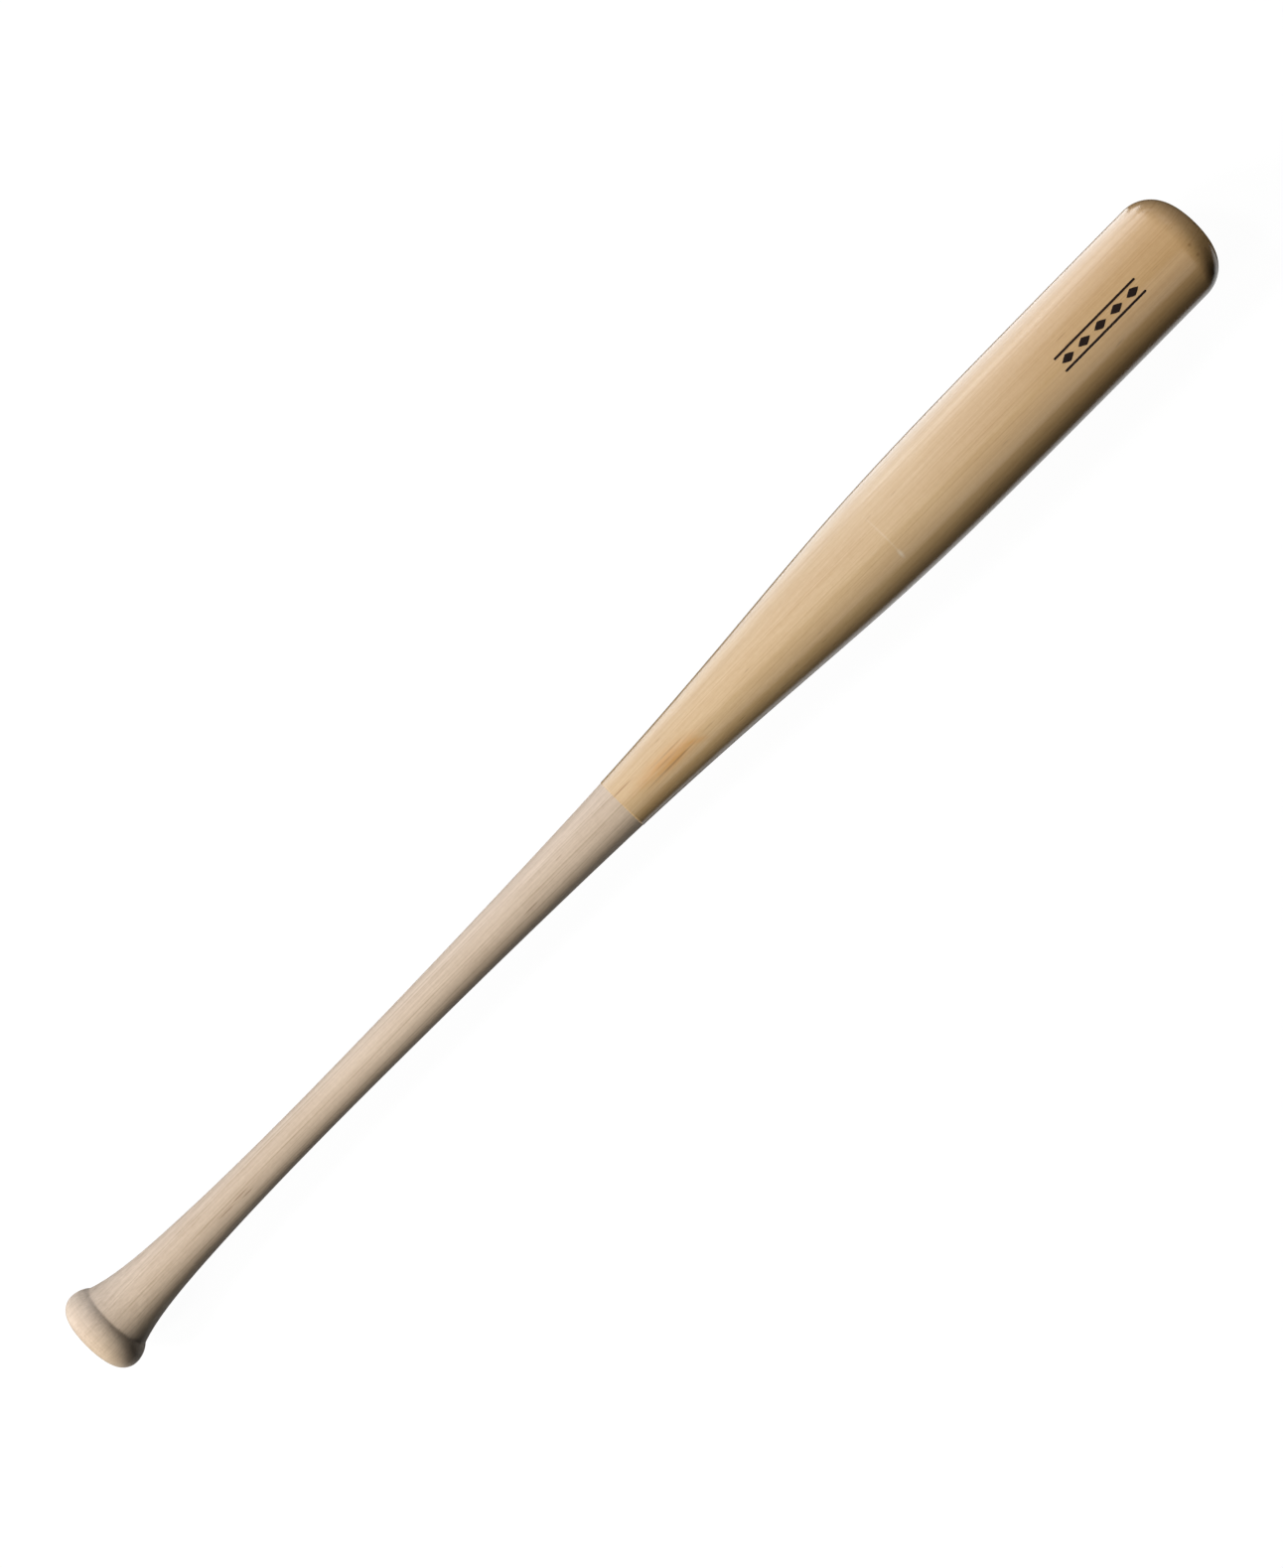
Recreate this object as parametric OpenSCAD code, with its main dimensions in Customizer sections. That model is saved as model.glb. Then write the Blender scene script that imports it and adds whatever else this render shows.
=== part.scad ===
// Turned wooden baseball bat: one-piece wood body, clear lacquer coat on the
// barrel and a black foil stamp. The bat lies along +X with the middle of its
// knob's end face at the origin, and +Z is up.

/* [Overall] */
// Length of the bare wood, knob end to barrel end
bat_length = 838; // [790:1:870]
// Thickest diameter of the bare barrel
barrel_diameter = 63.2; // [58:0.1:66]
// Thinnest diameter of the handle
handle_diameter = 22.2; // [21:0.1:26]
// Distance from the knob end to the thinnest place
waist_x = 172; // [140:1:200]

/* [Knob] */
// Widest diameter of the knob
knob_diameter = 49.7; // [47:0.1:54]
// Distance from the end face to the crease where the handle starts
crease_x = 20; // [18:0.5:21]
// Radius of the rounding towards the end face
knob_back_round = 8.7; // [6:0.1:10]
// Radius of the rounding towards the handle
knob_front_round = 14.2; // [13.5:0.1:15]
// Radius of the shallow dome across the end face
knob_dome_radius = 80; // [70:1:110]
// Diameter of the sanded flat in the middle of the end face
knob_flat_diameter = 16; // [8:1:20]
// How far the crease is blended to each side
crease_blend = 0.7; // [0.5:0.1:2.5]

/* [Barrel end] */
// Radius of the rounding between barrel and end face
end_round = 19; // [12:0.5:24]
// Radius of the dome across the end face
end_dome_radius = 65; // [55:1:100]

/* [Lacquer] */
// Distance from the knob end to the edge of the lacquer
lacquer_x = 404; // [320:1:460]
// Thickness of the lacquer coat
lacquer_film = 0.15; // [0.1:0.05:0.3]

/* [Foil stamp] */
// Distance from the knob end to the middle of the stamp
stamp_x = 759; // [640:1:775]
// Distance from the bat's axis to the middle of the stamp, sideways
stamp_y = -2.3; // [-4:0.1:4]
// Length of the stamp along the bat
stamp_length = 60; // [40:1:70]
// Height of the stamp around the bat
stamp_height = 10; // [8:0.5:12]
// Width of the rail along each long edge of the stamp
rail_width = 1.3; // [0.8:0.1:2]
// Number of lozenges between the rails
lozenge_count = 5; // [3:1:7]
// Thickness of the foil
foil_thickness = 0.1; // [0.1:0.05:0.2]

/* [Hidden] */

// Colours: bare wood, lacquered wood, foil
bare_wood = [0.80, 0.71, 0.60];
lacquered_wood = [0.80, 0.66, 0.46];
foil_black = [0.07, 0.05, 0.05];

// Facets of a full turn and the largest step along each part of the outline
turn_facets = 128;
arc_step = 6;
blend_steps = 5;
flare_steps = 22;
taper_step = 12;

// Flare from the knob to the waist: a long gentle swell with a short steep one
long_flare_share = 0.6;
long_flare_power = 2.3;
short_flare_power = 10;

// Taper from the waist to the barrel: a slow swell over the whole length with
// a quick one in the middle. The power delays a swell, and the sharpness ends it
slow_swell_share = 0.453;
slow_swell_power = 1.67;
slow_swell_sharpness = 2.74;
quick_swell_power = 5.22;
quick_swell_sharpness = 17.6;

// Arc centres of the knob, as [distance along the bat, distance from its axis]
knob_radius = knob_diameter / 2;
knob_flat_radius = knob_flat_diameter / 2;
knob_dome_x = sqrt(pow(knob_dome_radius, 2) - pow(knob_flat_radius, 2));
back_y = knob_radius - knob_back_round;
widest_x = knob_dome_x - sqrt(pow(knob_dome_radius - knob_back_round, 2) - pow(back_y, 2));
front_y = knob_radius - knob_front_round;
crease_radius = front_y + sqrt(pow(knob_front_round, 2) - pow(crease_x - widest_x, 2));

// Arc centres of the barrel end
end_dome_x = bat_length - end_dome_radius;
end_y = barrel_diameter / 2 - end_round;
end_x = end_dome_x + sqrt(pow(end_dome_radius - end_round, 2) - pow(end_y, 2));
end_meet_angle = acos((end_x - end_dome_x) / (end_dome_radius - end_round));

// Angles, from the -X direction, where the knob's arcs meet each other and the flat
dome_start_angle = asin(knob_flat_radius / knob_dome_radius);
dome_end_angle = asin(back_y / (knob_dome_radius - knob_back_round));

// Outlines are lists of [distance from the axis, distance along the bat].

// Points of an arc about [x, y], its angle measured from +X towards the outside
function arc(x, y, radius, from, to) =
    let (steps = ceil(abs(to - from) / arc_step))
    [for (i = [0 : steps])
        let (a = from + (to - from) * i / steps)
        [y + radius * sin(a), x + radius * cos(a)]];

// Radius of the handle between the crease and the waist
function flare_radius(x) =
    let (left = 1 - (x - crease_x) / (waist_x - crease_x))
    let (long = long_flare_share * pow(left, long_flare_power))
    let (short = (1 - long_flare_share) * pow(left, short_flare_power))
    handle_diameter / 2 + (crease_radius - handle_diameter / 2) * (long + short);

// Rise from 0 to 1 as done goes from 0 to 1
function swell(done, power, sharpness) =
    1 - pow(1 - pow(done, power), sharpness);

// Radius of the bat between the waist and the barrel's end rounding
function taper_radius(x) =
    let (done = (x - waist_x) / (end_x - waist_x))
    let (slow = swell(done, slow_swell_power, slow_swell_sharpness))
    let (quick = swell(done, quick_swell_power, quick_swell_sharpness))
    let (share = slow_swell_share * slow + (1 - slow_swell_share) * quick)
    (handle_diameter + (barrel_diameter - handle_diameter) * share) / 2;

// Taper from one place to another, lifted by a coat's thickness
function taper(from, to, coat) =
    let (steps = ceil((to - from) / taper_step))
    [for (i = [0 : steps])
        let (x = from + (to - from) * i / steps)
        [taper_radius(x) + coat, x]];

// Quadratic curve from a to b, pulled towards corner
function blend(a, corner, b) =
    [for (i = [0 : blend_steps])
        let (t = i / blend_steps)
        pow(1 - t, 2) * a + 2 * t * (1 - t) * corner + pow(t, 2) * b];

// End face and rounding of the knob, up to where the crease's blend starts
function knob_outline() =
    let (crease_angle = acos((crease_x - crease_blend - widest_x) / knob_front_round))
    concat(
        [[0, 0]],
        arc(knob_dome_x, 0, knob_dome_radius, 180 - dome_start_angle, 180 - dome_end_angle),
        arc(widest_x, back_y, knob_back_round, 180 - dome_end_angle, 90),
        arc(widest_x, front_y, knob_front_round, 90, crease_angle));

// Crease and flare, from the knob to the waist
function flare_outline() =
    let (knob_side_x = crease_x - crease_blend)
    let (handle_side_x = crease_x + crease_blend)
    let (knob_side = front_y + sqrt(pow(knob_front_round, 2) - pow(knob_side_x - widest_x, 2)))
    concat(
        blend([knob_side, knob_side_x], [crease_radius, crease_x],
              [flare_radius(handle_side_x), handle_side_x]),
        [for (i = [1 : flare_steps])
            let (x = handle_side_x + (waist_x - handle_side_x) * pow(i / flare_steps, 1.5))
            [flare_radius(x), x]]);

// Coated stretch of the bat, from the lacquer's edge to the tip
function coated_outline(coat) =
    concat(
        taper(lacquer_x, end_x, coat),
        arc(end_x, end_y, end_round + coat, 90, end_meet_angle),
        arc(end_dome_x, 0, end_dome_radius + coat, end_meet_angle, 0));

// The list without points that repeat the one before them
function distinct(points) =
    [for (i = [0 : len(points) - 1])
        if (i == 0 || norm(points[i] - points[max(i - 1, 0)]) > 0.001) points[i]];

// The list from its last point to its first
function reversed(points) =
    [for (i = [len(points) - 1 : -1 : 0]) points[i]];

// Solid of revolution about the bat's axis
module turned(outline) {
    rotate([0, 90, 0])
        rotate_extrude($fn = turn_facets)
            polygon(distinct(outline));
}

// The bat's one piece of wood: knob, handle, taper and barrel
module turned_body() {
    color(bare_wood)
        turned(concat(
            knob_outline(),
            flare_outline(),
            taper(waist_x, lacquer_x, 0),
            coated_outline(0)));
}

// Clear coat over the barrel, closed over its end
module barrel_lacquer() {
    color(lacquered_wood)
        turned(concat(coated_outline(lacquer_film), reversed(coated_outline(0))));
}

// Flat outline of the stamp: two rails with a row of lozenges between them
module stamp_outline() {
    lozenge_pitch = stamp_length / lozenge_count;
    lozenge_half_length = lozenge_pitch * 0.36;
    lozenge_half_height = stamp_height / 2 - rail_width * 2;
    rail_y = (stamp_height - rail_width) / 2;
    for (side = [-1, 1])
        translate([0, side * rail_y])
            square([stamp_length, rail_width], center = true);
    for (i = [0 : lozenge_count - 1])
        translate([(i + 0.5) * lozenge_pitch - stamp_length / 2, 0])
            polygon([
                [-lozenge_half_length, 0],
                [0, lozenge_half_height],
                [lozenge_half_length, 0],
                [0, -lozenge_half_height]]);
}

// Black foil stamp, lying on the lacquer on the bat's upper side
module barrel_mark() {
    margin = 5;
    from = stamp_x - stamp_length / 2 - margin;
    to = stamp_x + stamp_length / 2 + margin;
    color(foil_black)
        intersection() {
            turned(concat(
                taper(from, to, lacquer_film + foil_thickness),
                reversed(taper(from, to, lacquer_film))));
            translate([stamp_x, stamp_y, 0])
                linear_extrude(height = barrel_diameter)
                    stamp_outline();
        }
}

turned_body();
barrel_lacquer();
barrel_mark();
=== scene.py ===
"""Looks of a turned wooden baseball bat: bare handle, clear-lacquered barrel, black foil stamp."""

import math

import bpy
import numpy as np
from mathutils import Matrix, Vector


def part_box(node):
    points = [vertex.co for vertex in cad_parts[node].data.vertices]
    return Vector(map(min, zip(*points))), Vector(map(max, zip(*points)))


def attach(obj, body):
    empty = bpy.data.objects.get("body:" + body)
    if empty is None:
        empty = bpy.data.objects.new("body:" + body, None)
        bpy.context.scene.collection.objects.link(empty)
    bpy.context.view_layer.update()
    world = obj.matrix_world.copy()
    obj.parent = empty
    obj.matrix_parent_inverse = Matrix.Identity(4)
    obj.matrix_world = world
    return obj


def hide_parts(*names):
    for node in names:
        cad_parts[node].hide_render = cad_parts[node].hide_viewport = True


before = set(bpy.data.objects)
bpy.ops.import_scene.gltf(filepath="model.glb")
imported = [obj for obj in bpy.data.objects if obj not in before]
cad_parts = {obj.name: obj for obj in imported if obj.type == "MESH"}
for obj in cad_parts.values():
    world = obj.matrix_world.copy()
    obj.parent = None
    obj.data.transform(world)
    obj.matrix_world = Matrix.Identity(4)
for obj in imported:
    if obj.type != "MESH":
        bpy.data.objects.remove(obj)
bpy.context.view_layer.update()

MM = 0.001
FULL_TURN = 2 * math.pi

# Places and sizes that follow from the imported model
wood_low, wood_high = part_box("turned_body")
coat_low, coat_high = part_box("barrel_lacquer")
stamp_low, stamp_high = (np.array(corner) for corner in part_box("barrel_mark"))
bat_length = wood_high[0]
barrel_radius = wood_high[1]
coat_edge = coat_low[0]
coat_film = coat_high[1] - wood_high[1]

# A place on the handle, between the knob and the barrel
waist_x = 170 * MM

# The foil stamp's own sizes. A lozenge's sides bulge as its power rises above 1
foil_film = 0.1 * MM
rail_half_width = 0.65 * MM
lozenge_count = 5
lozenge_share = 0.36
lozenge_power = 1.12


# ---------------------------------------------------------------- meshes


def outline_of(node):
    """The node's outline as rows of [distance along the bat, distance from its axis]."""
    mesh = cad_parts[node].data
    points = np.empty(len(mesh.vertices) * 3)
    mesh.vertices.foreach_get("co", points)
    points = points.reshape(-1, 3)
    places = np.round(points[:, 0], 6)
    radii = np.hypot(points[:, 1], points[:, 2])
    return np.array([(x, radii[places == x].max()) for x in np.unique(places)])


def tangents(outline):
    """Unit directions along the outline. A straight stretch keeps its own direction to its end."""
    chords = np.diff(outline, axis=0)
    chords /= np.linalg.norm(chords, axis=1)[:, None]
    before = 2 * chords[0] - chords[1]
    after = 2 * chords[-1] - chords[-2]
    chords = np.vstack([2 * before - chords[0], before, chords, after, 2 * after - chords[-1]])
    turns = np.linalg.norm(np.diff(chords, axis=0), axis=1) + 1e-6
    directions = turns[2:, None] * chords[1:-2] + turns[:-2, None] * chords[2:-1]
    return directions / np.linalg.norm(directions, axis=1)[:, None]


def smoothed(outline, longest_step):
    """The outline with more points, on a smooth curve through the ones it has."""
    slopes = tangents(outline)
    steps = np.linalg.norm(np.diff(outline, axis=0), axis=1)
    rows = [outline[0]]
    for i, step in enumerate(steps):
        count = max(2, math.ceil(step / longest_step))
        for t in np.arange(1, count + 1) / count:
            start = (1 + 2 * t) * (1 - t) ** 2 * outline[i] + t * (1 - t) ** 2 * step * slopes[i]
            end = t * t * (3 - 2 * t) * outline[i + 1] - t * t * (1 - t) * step * slopes[i + 1]
            rows.append(start + end)
    return np.array(rows)


def grown(outline, thickness):
    """The outline moved outwards, square to itself. thickness is one number or one for each row."""
    along = tangents(outline)
    outwards = np.stack([-along[:, 1], along[:, 0]], axis=1)
    return outline + np.broadcast_to(thickness, len(outline))[:, None] * outwards


def new_piece(name, points, faces, corners, material):
    """A smooth-shaded piece. corners holds each face corner's place on the texture."""
    mesh = bpy.data.meshes.new(name)
    mesh.from_pydata([tuple(p) for p in points], [], faces)
    layer = mesh.uv_layers.new(name="OFBake")
    layer.data.foreach_set("uv", np.array(corners, dtype=np.float32).ravel())
    mesh.materials.append(material)
    mesh.shade_smooth()
    piece = bpy.data.objects.new(name, mesh)
    bpy.context.scene.collection.objects.link(piece)
    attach(piece, "root")
    return piece


def lathe(name, outline, seen, material, segments=192):
    """A solid of revolution. Its outline starts and ends on the axis.

    The texture is unrolled along its underside. Rows that aren't seen get a twentieth of the room.
    """
    angles = np.arange(segments) * FULL_TURN / segments
    points = []
    rings = []
    for x, radius in outline:
        first = len(points)
        if radius < 1e-6:
            rings.append([first] * segments)
            points.append((x, 0, 0))
        else:
            rings.append(list(range(first, first + segments)))
            points.extend((x, radius * math.sin(a), -radius * math.cos(a)) for a in angles)
    room = np.linalg.norm(np.diff(outline, axis=0), axis=1) * np.where(seen[1:], 1.0, 0.05)
    height = np.concatenate([[0], np.cumsum(room)]) / room.sum()
    faces = []
    corners = []
    for row, (low, high) in enumerate(zip(rings, rings[1:])):
        for i in range(segments):
            j = (i + 1) % segments
            face = [low[i], low[j], high[j], high[i]]
            u, v = i / segments, (i + 1) / segments
            corner = [(u, height[row]), (v, height[row]), (v, height[row + 1]), (u, height[row + 1])]
            if low[i] == low[j]:
                face, corner = [face[0], face[2], face[3]], [corner[0], corner[2], corner[3]]
            elif high[i] == high[j]:
                face, corner = face[:3], corner[:3]
            faces.append(face)
            corners.extend(corner)
    return new_piece(name, points, faces, corners, material)


# ---------------------------------------------------------------- materials


def add(tree, kind, values=None, **settings):
    """A new node. values sets inputs by name or number: a socket is linked, anything else is kept."""
    node = tree.nodes.new("ShaderNode" + kind)
    for name, setting in settings.items():
        setattr(node, name, setting)
    for name, value in (values or {}).items():
        if isinstance(value, bpy.types.NodeSocket):
            tree.links.new(value, node.inputs[name])
        else:
            node.inputs[name].default_value = value
    return node


def maths(tree, operation, first, second=0.0):
    """One sum on two numbers or sockets."""
    return add(tree, "Math", {0: first, 1: second}, operation=operation).outputs[0]


def ramp(tree, value, low, high, start=0.0, end=1.0, smooth=True):
    """value taken from low..high to start..end, held at the ends."""
    kind = "SMOOTHSTEP" if smooth else "LINEAR"
    inputs = {"Value": value, "From Min": low, "From Max": high, "To Min": start, "To Max": end}
    return add(tree, "MapRange", inputs, interpolation_type=kind).outputs[0]


def place_in_mm(tree):
    """The position in the bat's own frame, in millimetres."""
    place = add(tree, "TexCoord").outputs["Object"]
    return add(tree, "VectorMath", {0: place, 3: 1000.0}, operation="SCALE").outputs[0]


def stretched(tree, position, along, across):
    """The position in millimetres times along for X and across for Y and Z."""
    scale = {1: (along, across, across)}
    return add(tree, "VectorMath", {0: position, **scale}, operation="MULTIPLY").outputs[0]


def noise(tree, vector, detail=2.0, roughness=0.5):
    """Smooth noise of about 0 to 1, with features one unit of the vector apart."""
    values = {"Vector": vector, "Scale": 1.0, "Detail": detail, "Roughness": roughness}
    return add(tree, "TexNoise", values).outputs["Fac"]


def mix(tree, share, first, second, blend="MIX"):
    """The first colour with a share of the second laid over it."""
    values = {"Factor": share, 6: first, 7: second}
    return add(tree, "Mix", values, data_type="RGBA", blend_type=blend).outputs[2]


def patch(tree, position, centre, half_size, softness=1.0):
    """1 in the middle of an ellipsoid, given in millimetres, and 0 outside it."""
    offset = add(tree, "VectorMath", {0: position, 1: centre}, operation="SUBTRACT").outputs[0]
    scaled = add(tree, "VectorMath", {0: offset, 1: half_size}, operation="DIVIDE").outputs[0]
    away = add(tree, "VectorMath", {0: scaled}, operation="LENGTH").outputs["Value"]
    return ramp(tree, away, 1.0 - softness, 1.0, 1.0, 0.0)


def leaned(tree, position, x, lean):
    """The position, sheared across the bat about x so that what follows the grain leans off it."""
    if lean == 0:
        return position
    along = add(tree, "SeparateXYZ", {0: position}).outputs[0]
    shift = maths(tree, "MULTIPLY", maths(tree, "SUBTRACT", along, x), -lean)
    shift = add(tree, "CombineXYZ", {1: shift}).outputs[0]
    return add(tree, "VectorMath", {0: position, 1: shift}, operation="ADD").outputs[0]


# The wood's own marks, all in millimetres. The handle's darkest flecks, each a place along
# the bat and across it and a half length
handle_flecks = ((30, 1, 7), (103, -2.5, 9), (114, -1.5, 8), (118, -3.4, 6), (331, -4.5, 8))

# The mineral streak, its amber wash and then its dark lines. Each row is a place along the
# bat and across it, a half length, a half width, a lean away from the grain and a strength
streak_wash = (
    (439.0, -1.2, 33.0, 8.0, -0.04, 0.9),
    (446.0, -3.0, 18.0, 3.6, 0.08, 0.8),
    (454.5, -4.0, 10.5, 2.9, -0.45, 0.95),
)
streak_lines = (
    (438.0, -4.4, 27.0, 0.9, 0.0, 1.0),
    (441.0, 2.2, 20.0, 0.8, 0.0, 0.7),
    (438.0, -0.6, 14.0, 0.8, 0.0, 0.6),
    (466.0, -3.8, 7.0, 0.6, 0.0, 0.5),
    (410.0, 5.6, 11.0, 0.75, 0.0, 0.8),
)

# The pin flecks by the barrel's end, with their places across the bat
pin_fleck_x = 822.0
pin_fleck_ys = (-6.3, -12.9)

# The pale scuff across the barrel, strongest at its lower end. Each row is a place across
# the bat, a half height, a half length along the bat and a strength
scuff_x = 601.0
scuff_parts = ((-12.0, 4.2, 1.8, 0.5), (1.0, 21.0, 0.9, 0.22))
scuff_colour = (0.85, 0.74, 0.56, 1)


def growth_lines(tree, position):
    """Dark lines of the growth rings, from 0 to 1. The pith lies far out on the bat's side."""
    pith_y = -240.0
    ring_pitch = 2.3
    drift = -0.006
    waver = noise(tree, stretched(tree, position, 0.004, 0.012), 1.0)
    waver = ramp(tree, waver, 0.0, 1.0, -2.5, 2.5, smooth=False)
    parts = add(tree, "SeparateXYZ", {0: position}).outputs
    across = maths(tree, "SUBTRACT", parts[1], pith_y)
    squares = [maths(tree, "MULTIPLY", side, side) for side in (across, parts[2])]
    distance = maths(tree, "SQRT", maths(tree, "ADD", *squares))
    distance = maths(tree, "ADD", distance, waver)
    distance = maths(tree, "ADD", distance, maths(tree, "MULTIPLY", parts[0], drift))
    uneven = add(tree, "TexNoise", {"W": distance, "Scale": 0.16, "Detail": 1.0}, noise_dimensions="1D")
    uneven = maths(tree, "MULTIPLY", uneven.outputs["Fac"], 3.0)
    age = maths(tree, "ADD", maths(tree, "DIVIDE", distance, ring_pitch), uneven)
    year = maths(tree, "FLOOR", age)
    season = maths(tree, "FRACT", age)
    strength = add(tree, "TexWhiteNoise", {"W": year}, noise_dimensions="1D").outputs["Value"]
    strength = ramp(tree, strength, 0.0, 1.0, 0.2, 1.0, smooth=False)
    late = ramp(tree, season, 0.45, 0.90)
    late = maths(tree, "MULTIPLY", late, ramp(tree, season, 0.90, 1.0, 1.0, 0.0))
    return maths(tree, "MULTIPLY", late, strength)


def short_flecks(tree, position, along, across, share):
    """Short dark flecks along the grain, from 0 to 1. share is how many of the cells hold one."""
    cells = add(tree, "TexVoronoi", {"Vector": stretched(tree, position, along, across), "Scale": 1.0})
    chance = add(tree, "SeparateColor", {0: cells.outputs["Color"]}).outputs[0]
    kept = maths(tree, "LESS_THAN", chance, share)
    shape = ramp(tree, cells.outputs["Distance"], 0.05, 0.24, 1.0, 0.0)
    return maths(tree, "MULTIPLY", shape, kept)


def lathe_marks(tree, position):
    """Fine marks around the bat left by turning and sanding, centred on 0. They show on the knob."""
    marks = noise(tree, stretched(tree, position, 1.1, 0.05), 2.0)
    place = add(tree, "SeparateXYZ", {0: position}).outputs[0]
    strength = ramp(tree, place, 14.0, 26.0, 0.5, 0.2)
    return maths(tree, "MULTIPLY", maths(tree, "SUBTRACT", marks, 0.5), strength)


def straight_grain(tree, position, place_along, contrast):
    """Returns the grain's shade from light to dark, its growth lines, fibres and flecks."""
    lines = growth_lines(tree, position)
    lines = maths(tree, "MULTIPLY", lines, ramp(tree, place_along, 12.0, 30.0, 0.4, 1.0))
    fibres = noise(tree, stretched(tree, position, 0.012, 1.0), 2.0, 0.6)
    bands = noise(tree, stretched(tree, position, 0.006, 0.16), 1.0)
    mottle = noise(tree, stretched(tree, position, 0.02, 0.04), 3.0)
    pores = noise(tree, stretched(tree, position, 0.35, 0.9), 2.0)
    flecks = short_flecks(tree, position, 0.05, 0.8, 0.07)

    shade = maths(tree, "MULTIPLY", lines, 0.5)
    for pattern, amount in ((fibres, 0.9), (bands, 0.5), (mottle, 0.5), (pores, 0.45)):
        centred = maths(tree, "SUBTRACT", pattern, 0.5)
        shade = maths(tree, "ADD", shade, maths(tree, "MULTIPLY", centred, amount))
    shade = maths(tree, "ADD", shade, lathe_marks(tree, position))
    shade = ramp(tree, shade, -0.45, 0.75, 0.5 - contrast / 2, 0.5 + contrast / 2, smooth=False)
    return shade, lines, fibres, flecks


def marked(tree, position, colour, fibres, fleck_colour, wash_colour, line_colour):
    """The colour with the wood's own marks laid over it. Each lies on the bat's upper side."""
    for x, y, half_length in handle_flecks:
        dash = patch(tree, position, (x, y, 12.0), (half_length, 0.55, 8.0), 0.8)
        colour = mix(tree, maths(tree, "MULTIPLY", dash, 0.55), colour, fleck_colour)

    streaky = ramp(tree, fibres, 0.35, 0.65, 0.5, 1.0)
    for marks, tint, softness in ((streak_wash, wash_colour, 0.9), (streak_lines, line_colour, 0.8)):
        for x, y, half_length, half_width, lean, amount in marks:
            along_grain = leaned(tree, position, x, lean)
            mark = patch(tree, along_grain, (x, y, 15.0), (half_length, half_width, 9.0), softness)
            mark = maths(tree, "MULTIPLY", mark, streaky)
            colour = mix(tree, maths(tree, "MULTIPLY", mark, amount), colour, tint)

    for y in pin_fleck_ys:
        pin = patch(tree, position, (pin_fleck_x, y, 30.0), (1.8, 1.4, 6.0))
        colour = mix(tree, maths(tree, "MULTIPLY", pin, 0.6), colour, line_colour)

    for y, half_height, half_length, amount in scuff_parts:
        scuff = patch(tree, position, (scuff_x, y, 26.0), (half_length, half_height, 14.0))
        colour = mix(tree, maths(tree, "MULTIPLY", scuff, amount), colour, scuff_colour)
    return colour


def wood(name, light, dark, lit_side_tint, shaded_side_tint, fleck_colour, wash_colour, line_colour, contrast):
    """Straight-grained pale hardwood, with painted light and shade in its colour: a tint for the lit
    side and one for the shaded side, and a browner barrel end. Returns the material, its shader, relief
    and fibres.
    """
    material = bpy.data.materials.new(name)
    material.use_nodes = True
    tree = material.node_tree
    shader = tree.nodes["Principled BSDF"]
    position = place_in_mm(tree)
    places = add(tree, "SeparateXYZ", {0: position}).outputs
    shade, lines, fibres, flecks = straight_grain(tree, position, places["X"], contrast)
    colour = mix(tree, shade, light, dark)

    # Painted light and shade: the shaded -Y side is tinted a little yellower, and the lit +Y side a
    # little pinker and paler
    towards_shaded_side = ramp(tree, places["Y"], 14.0, -14.0)
    painted_side_tint = mix(tree, towards_shaded_side, lit_side_tint, shaded_side_tint)
    colour = mix(tree, 1.0, colour, painted_side_tint, "MULTIPLY")
    colour = mix(tree, maths(tree, "MULTIPLY", flecks, 0.5), colour, fleck_colour)
    colour = marked(tree, position, colour, fibres, fleck_colour, wash_colour, line_colour)

    # Painted shade: the wood turns a little browner towards the barrel's end, where the light falls off
    painted_end_shade = ramp(tree, places["X"], 560.0, 800.0)
    colour = mix(tree, painted_end_shade, colour, (1.0, 0.93, 0.84, 1), "MULTIPLY")
    tree.links.new(colour, shader.inputs["Base Color"])

    height = maths(tree, "MULTIPLY", fibres, 0.6)
    height = maths(tree, "SUBTRACT", height, maths(tree, "MULTIPLY", flecks, 0.8))
    height = maths(tree, "SUBTRACT", height, maths(tree, "MULTIPLY", lines, 0.2))
    return material, shader, height, fibres


def bump(tree, shader, height, depth, strength):
    """Relief of the given height, its full depth in metres."""
    values = {"Height": height, "Distance": depth, "Strength": strength}
    normal = add(tree, "Bump", values).outputs["Normal"]
    tree.links.new(normal, shader.inputs["Normal"])


def bare_wood():
    """Sanded wood with no finish: pale, slightly pink and matt."""
    material, shader, height, fibres = wood(
        "bare_wood",
        light=(0.74, 0.58, 0.45, 1),
        dark=(0.46, 0.335, 0.23, 1),
        # Painted light and shade: the lit +Y side's tint, then the shaded -Y side's tint
        lit_side_tint=(0.94, 0.97, 1.0, 1),
        shaded_side_tint=(1.0, 1.0, 0.93, 1),
        fleck_colour=(0.26, 0.15, 0.085, 1),
        wash_colour=(0.60, 0.38, 0.22, 1),
        line_colour=(0.42, 0.25, 0.15, 1),
        contrast=1.0,
    )
    tree = material.node_tree
    roughness = ramp(tree, fibres, 0.3, 0.7, 0.52, 0.66, smooth=False)
    tree.links.new(roughness, shader.inputs["Roughness"])
    shader.inputs["Sheen Weight"].default_value = 0.10
    shader.inputs["Sheen Roughness"].default_value = 0.4
    bump(tree, shader, height, 0.00006, 0.6)
    return material


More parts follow.
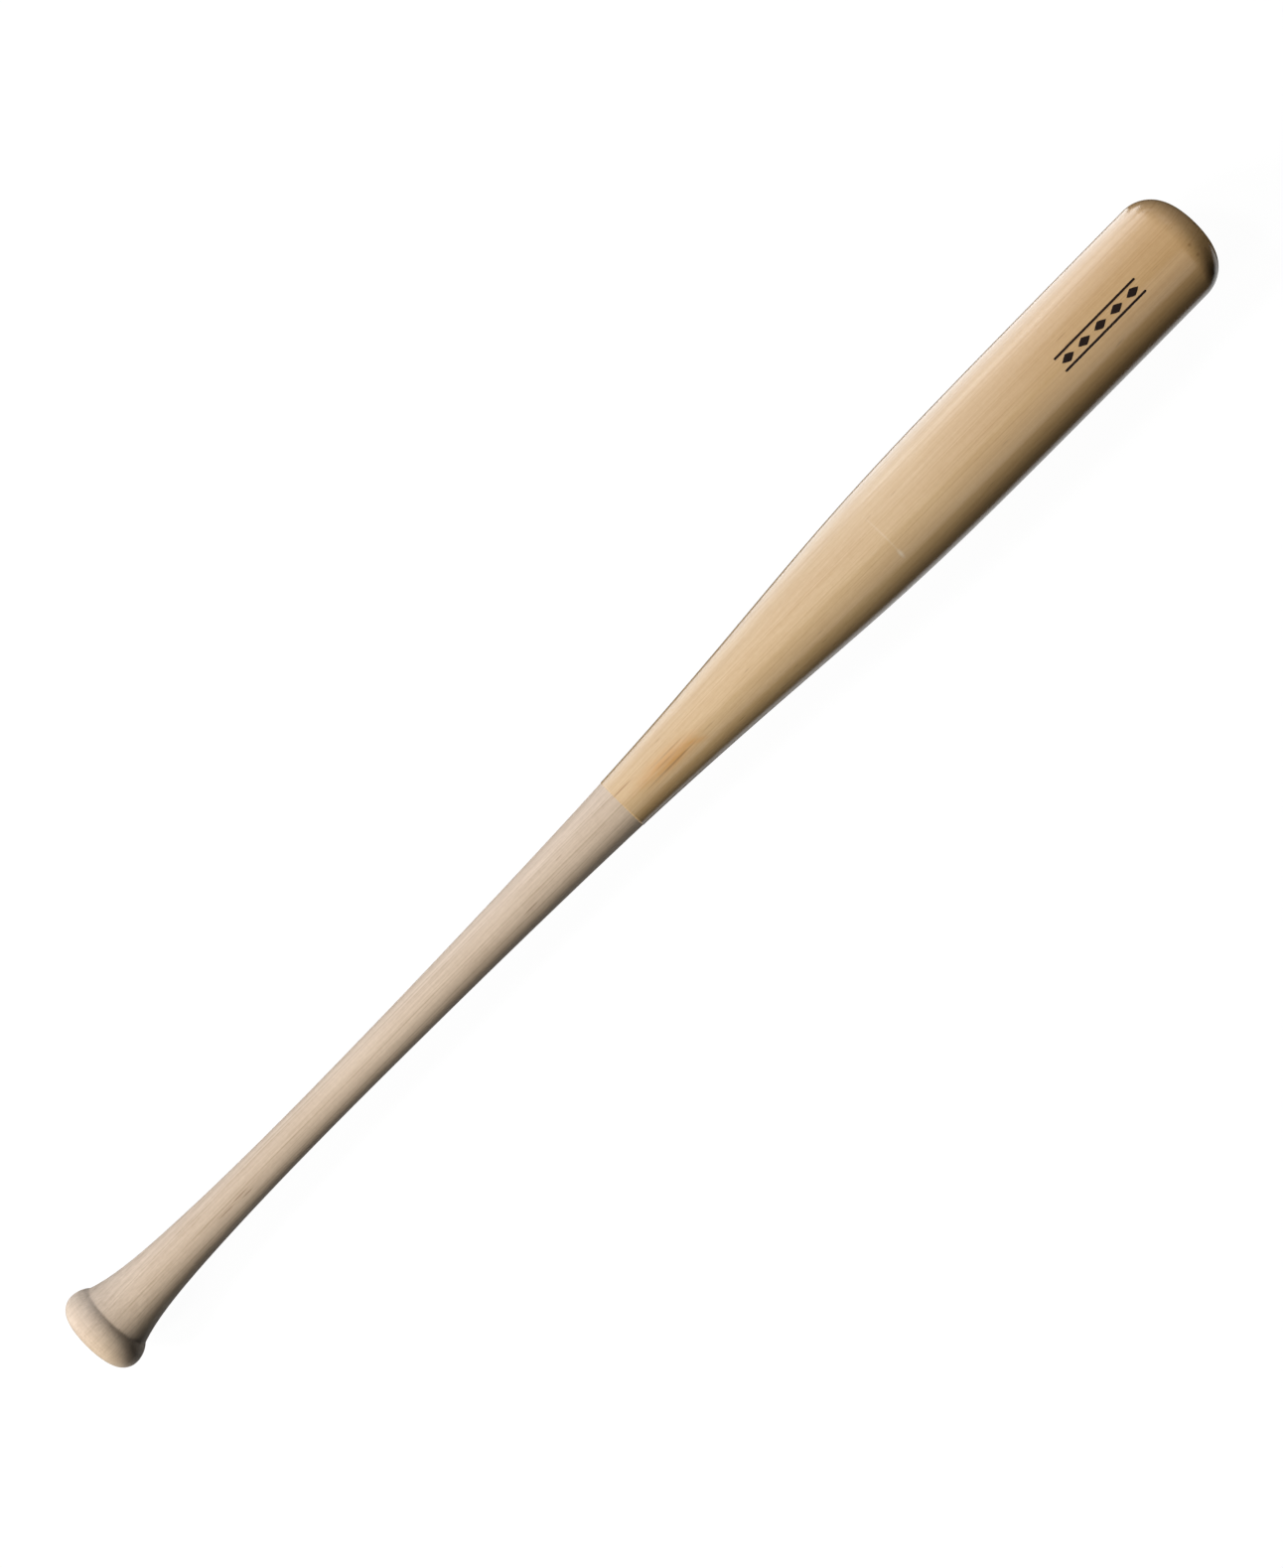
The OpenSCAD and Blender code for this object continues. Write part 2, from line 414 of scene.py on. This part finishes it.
def lacquered_wood():
    """The same wood seen through clear lacquer: deeper, yellower and glossy."""
    material, shader, height, fibres = wood(
        "lacquered_wood",
        light=(0.76, 0.545, 0.325, 1),
        dark=(0.56, 0.345, 0.165, 1),
        # Painted light and shade: the lit +Y side's tint, then the shaded -Y side's tint
        lit_side_tint=(0.95, 0.98, 1.0, 1),
        shaded_side_tint=(1.0, 0.98, 0.84, 1),
        fleck_colour=(0.28, 0.15, 0.06, 1),
        wash_colour=(0.64, 0.32, 0.085, 1),
        line_colour=(0.34, 0.17, 0.055, 1),
        contrast=0.8,
    )
    tree = material.node_tree
    roughness = ramp(tree, fibres, 0.3, 0.7, 0.19, 0.24, smooth=False)
    tree.links.new(roughness, shader.inputs["Roughness"])
    bump(tree, shader, height, 0.00002, 0.4)
    return material


def stamp_foil():
    """Hot-stamped black foil, thin enough for the grain below to show in its sheen."""
    material = bpy.data.materials.new("stamp_foil")
    material.use_nodes = True
    tree = material.node_tree
    shader = tree.nodes["Principled BSDF"]
    position = place_in_mm(tree)
    grain = noise(tree, stretched(tree, position, 0.08, 2.2), 3.0, 0.6)
    speckle = noise(tree, stretched(tree, position, 3.0, 4.0), 2.0)
    worn = ramp(tree, maths(tree, "ADD", grain, speckle), 1.18, 1.4)
    colour = mix(tree, worn, (0.012, 0.005, 0.003, 1), (0.05, 0.022, 0.010, 1))
    tree.links.new(colour, shader.inputs["Base Color"])
    roughness = ramp(tree, grain, 0.3, 0.7, 0.34, 0.52, smooth=False)
    tree.links.new(roughness, shader.inputs["Roughness"])
    shader.inputs["Specular IOR Level"].default_value = 0.15
    bump(tree, shader, grain, 0.00003, 0.5)
    return material


# ---------------------------------------------------------------- pieces


def make_body(outline):
    """The whole billet, end to end, with the barrel under the lacquer."""
    closed = np.vstack([[outline[0, 0], 0], outline])
    seen = closed[:, 0] <= coat_edge + 1 * MM
    piece = lathe("bat_wood", closed, seen, bare_wood())
    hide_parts("turned_body")


def make_lacquer(outline):
    """The lacquer coat as a closed film, a little thicker just behind its edge."""
    edge_radius = np.interp(coat_edge, outline[:, 0], outline[:, 1])
    inner = np.vstack([[coat_edge, edge_radius], outline[outline[:, 0] > coat_edge + 0.1 * MM]])
    inner = inner[inner[:, 0] <= bat_length]

    # The bead's rows, and the film's thickness at the edge and at each row as shares of the coat's
    bead_places = coat_edge + np.array([0.25, 0.6, 1.0, 1.5]) * MM
    bead_shares = (0.35, 1.1, 1.35, 1.3, 1.1)
    bead = np.stack([bead_places, np.interp(bead_places, outline[:, 0], outline[:, 1])], axis=1)
    covered = np.vstack([inner[:1], bead, inner[inner[:, 0] > bead_places[-1] + 0.3 * MM]])
    film = np.full(len(covered), coat_film)
    film[:len(bead_shares)] *= bead_shares
    outer = grown(covered, film)
    outer[-1] = (bat_length + coat_film, 0)
    shell = np.vstack([inner[::-1], outer])
    seen = np.arange(len(shell)) >= len(inner)
    piece = lathe("barrel_lacquer_coat", shell, seen, lacquered_wood())
    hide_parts("barrel_lacquer")


def foil_patch(outline, centre, places, widths):
    """A thin closed patch on the lacquer. widths are its half widths at places along it."""
    points = []
    across = np.linspace(-1, 1, 9)
    sunk = 0.02 * MM
    top_and_bottom = (coat_film + foil_film, coat_film - sunk)
    for lift in top_and_bottom:
        for place, width in zip(places, widths):
            x = centre[0] + place
            radius = np.interp(x, outline[:, 0], outline[:, 1]) + lift
            points.extend((x, y, math.sqrt(radius * radius - y * y)) for y in centre[1] + width * across)
    rows, columns = len(places), len(across)
    top = np.arange(rows * columns).reshape(rows, columns)
    bottom = top + rows * columns
    faces = []
    for i in range(rows - 1):
        for j in range(columns - 1):
            faces.append((top[i, j], top[i + 1, j], top[i + 1, j + 1], top[i, j + 1]))
            faces.append((bottom[i, j], bottom[i, j + 1], bottom[i + 1, j + 1], bottom[i + 1, j]))
    rim = [(i, 0) for i in range(rows)]
    rim += [(rows - 1, j) for j in range(1, columns)]
    rim += [(i, columns - 1) for i in range(rows - 2, -1, -1)]
    rim += [(0, j) for j in range(columns - 2, 0, -1)]
    for here, there in zip(rim, rim[1:] + rim[:1]):
        faces.append((top[here], bottom[here], bottom[there], top[there]))
    return points, faces


def make_stamp(outline):
    """Two foil rails with rounded ends and a row of softened lozenges between them."""
    length = stamp_high[0] - stamp_low[0]
    height = stamp_high[1] - stamp_low[1]
    centre = (stamp_low[:2] + stamp_high[:2]) / 2
    patches = []

    # A rail's half width grows along a quarter circle at each end and is even between them
    straight_rows = 25
    bend = np.sin(np.linspace(0.05, 1, 6) * math.pi / 2)[:-1]
    straight_end = length / 2 - rail_half_width
    end_places = straight_end + rail_half_width * np.sqrt(1 - bend ** 2)
    straight = np.linspace(-straight_end, straight_end, straight_rows)
    places = np.concatenate([-end_places, straight, end_places[::-1]])
    widths = rail_half_width * np.concatenate([bend, np.ones(straight_rows), bend[::-1]])
    for side in (-1, 1):
        rail_centre = centre + (0, side * (height / 2 - rail_half_width))
        patches.append(foil_patch(outline, rail_centre, places, widths))

    # A lozenge's half width falls from its middle to its tips, which are cut a hair short
    pitch = length / lozenge_count
    half_width = height / 2 - 4 * rail_half_width
    along = np.sin(np.linspace(-0.97, 0.97, 19) * math.pi / 2)
    widths = half_width * (1 - np.abs(along) ** lozenge_power) ** (1 / lozenge_power)
    for i in range(lozenge_count):
        middle = centre + ((i + 0.5) * pitch - length / 2, 0)
        patches.append(foil_patch(outline, middle, lozenge_share * pitch * along, widths))

    points = []
    faces = []
    for patch_points, patch_faces in patches:
        faces.extend([len(points) + corner for corner in face] for face in patch_faces)
        points.extend(patch_points)
    # The upper faces take the top three quarters of the texture, and all others the rest
    places = np.array(points)
    flat = (places[:, :2] - stamp_low[:2]) / (length, height) * (0.96, 1) + (0.02, 0)
    corners = []
    for face in faces:
        a, b, c = (places[corner] for corner in face[:3])
        upper = np.cross(b - a, c - b)[2] > 0
        start, room = (0.28, 0.7) if upper else (0.02, 0.2)
        corners.extend((flat[corner][0], start + room * flat[corner][1]) for corner in face)
    piece = new_piece("foil_stamp", points, faces, corners, stamp_foil())
    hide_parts("barrel_mark")


# ---------------------------------------------------------------- scene


def area_light(name, location, target, size, radiance, seen_by):
    """A rectangular light of even brightness, hidden from the camera.

    seen_by is "diffuse" for a light that shapes the wood and "gloss" for one that is only reflected.
    """
    data = bpy.data.lights.new(name, "AREA")
    data.shape = "RECTANGLE"
    data.size, data.size_y = size
    data.energy = math.pi * size[0] * size[1] * radiance
    light = bpy.data.objects.new(name, data)
    light.location = location
    light.rotation_euler = (Vector(target) - Vector(location)).to_track_quat("-Z", "Y").to_euler()
    light.visible_camera = False
    light.visible_diffuse = seen_by == "diffuse"
    light.visible_glossy = seen_by == "gloss"
    bpy.context.scene.collection.objects.link(light)


def key_light(turn, height, radiance):
    """A small far lamp. turn is in degrees from -X towards +Y, and height in degrees above level."""
    distance = 3.0
    size = 0.5
    level = distance * math.cos(math.radians(height))
    x = bat_length / 2 - level * math.cos(math.radians(turn))
    location = (x, level * math.sin(math.radians(turn)), distance * math.sin(math.radians(height)))
    middle = (bat_length / 2, 0, 0)
    area_light(f"key_{turn}", location, middle, (size, size), radiance, "diffuse")


def overhead(name, x, start, end, length, radiance):
    """A reflected card on an arc about the bat, from start to end degrees off straight up."""
    distance = 1.4
    width = 2 * distance * math.tan(math.radians(end - start) / 2)
    turn = math.radians((start + end) / 2)
    location = (x, distance * math.sin(turn), distance * math.cos(turn))
    area_light(name, location, (x, 0, 0), (length, width), radiance, "gloss")


def floor_strip(name, end_x, start, end, radiance):
    """A reflected strip of lit floor beside the bat, from start to end along Y, up to end_x."""
    start_x = -0.4
    place = ((start_x + end_x) / 2, (start + end) / 2)
    location = (*place, 1 * MM - barrel_radius)
    target = (place[0], place[1] + 1 * MM, 1.0)
    area_light(name, location, target, (end_x - start_x, end - start), radiance, "gloss")


def make_lights():
    """Three keys beyond the knob and to the +Y side, and cards that shape the lacquer's gloss."""
    middle = (bat_length / 2, 0, 0)
    barrel_end = (bat_length, 0, 0)

    # Turn from -X towards +Y and height above level, in degrees, then radiance
    for turn, height, radiance in ((0, 35, 40.0), (25, 35, 60.0), (50, 50, 43.0)):
        key_light(turn, height, radiance)
    area_light("end_fill", (1.35, 0.50, 0.35), barrel_end, (0.3, 0.3), 6.5, "diffuse")

    # Place along the bat, from and to in degrees off straight up towards +Y, length, radiance
    overhead("card_far", 0.75, -65, -15, 1.0, 1.4)
    overhead("card_overhead", 0.50, -10, 45, 0.9, 2.5)
    overhead("card_side", 0.40, 45, 75, 1.4, 2.8)
    overhead("card_low", 0.33, 75, 97, 1.6, 2.3)
    overhead("card_end", 1.00, 75, 100, 0.7, 2.0)

    # Far end along the bat, from and to along Y, radiance
    floor_strip("floor_by_the_bat", 0.83, 0.047, 0.08, 2.8)
    floor_strip("floor_key_side", 0.86, 0.08, 0.25, 3.8)
    floor_strip("floor_key_side_far", 1.05, 0.25, 1.0, 2.4)
    floor_strip("floor_far_side", 0.9, -0.065, -0.035, 0.8)
    area_light("floor_bounce", (bat_length / 2, -0.8, -1.4), middle, (2.0, 1.0), 0.6, "diffuse")


def make_world():
    """White to the camera and nearly dark to the bat, which the lights alone shape."""
    room_glow = 0.004
    world = bpy.data.worlds.new("studio")
    bpy.context.scene.world = world
    world.use_nodes = True
    tree = world.node_tree
    back = tree.nodes["Background"]
    seen = add(tree, "LightPath").outputs["Is Camera Ray"]
    back.inputs["Color"].default_value = (1, 1, 1, 1)
    tree.links.new(ramp(tree, seen, 0.0, 1.0, room_glow, 1.0, smooth=False), back.inputs["Strength"])


def make_floor(outline):
    """A pale floor under the bat, which rests on its knob and its barrel."""
    knob = outline[outline[:, 0] < waist_x]
    knob_x, knob_radius = knob[knob[:, 1].argmax()]
    barrel = outline[outline[:, 0] > waist_x]
    slopes = (barrel[:, 1] - knob_radius) / (barrel[:, 0] - knob_x)
    touch_x, touch_radius = barrel[slopes.argmax()]
    gap = 0.3 * MM
    half = 3.0
    paper_grey = 0.06
    paper_glow = 0.97
    mesh = bpy.data.meshes.new("floor")
    square = [(-half, -half, 0), (half, -half, 0), (half, half, 0), (-half, half, 0)]
    mesh.from_pydata(square, [], [(0, 1, 2, 3)])
    floor = bpy.data.objects.new("floor", mesh)
    floor.location = ((knob_x + touch_x) / 2, 0, -(touch_radius + knob_radius) / 2 - gap)
    floor.rotation_euler = (0, math.atan(slopes.max()), 0)
    floor.visible_diffuse = False
    floor.visible_glossy = False
    floor.visible_shadow = False
    material = bpy.data.materials.new("floor_paper")
    material.use_nodes = True
    shader = material.node_tree.nodes["Principled BSDF"]
    shader.inputs["Base Color"].default_value = (paper_grey, paper_grey, paper_grey, 1)
    shader.inputs["Roughness"].default_value = 0.9
    shader.inputs["Specular IOR Level"].default_value = 0.0
    shader.inputs["Emission Color"].default_value = (1, 1, 1, 1)
    shader.inputs["Emission Strength"].default_value = paper_glow
    mesh.materials.append(material)
    bpy.context.scene.collection.objects.link(floor)


def make_camera():
    """Straight above the middle of the bat, turned so that the bat climbs to the upper right."""
    height = 1.645
    turn = -45.42
    data = bpy.data.cameras.new("camera")
    data.lens = 70.7
    data.sensor_width = 36
    camera = bpy.data.objects.new("camera", data)
    camera.location = (bat_length / 2, 0, height)
    camera.rotation_euler = (0, 0, math.radians(turn))
    bpy.context.scene.collection.objects.link(camera)
    bpy.context.scene.camera = camera


longest_step = 3.5 * MM
body_outline = smoothed(outline_of("turned_body"), longest_step)
make_body(body_outline)
make_lacquer(body_outline)
make_stamp(body_outline)
make_lights()
make_world()
make_floor(body_outline)
make_camera()
bpy.context.scene.view_settings.view_transform = "Standard"
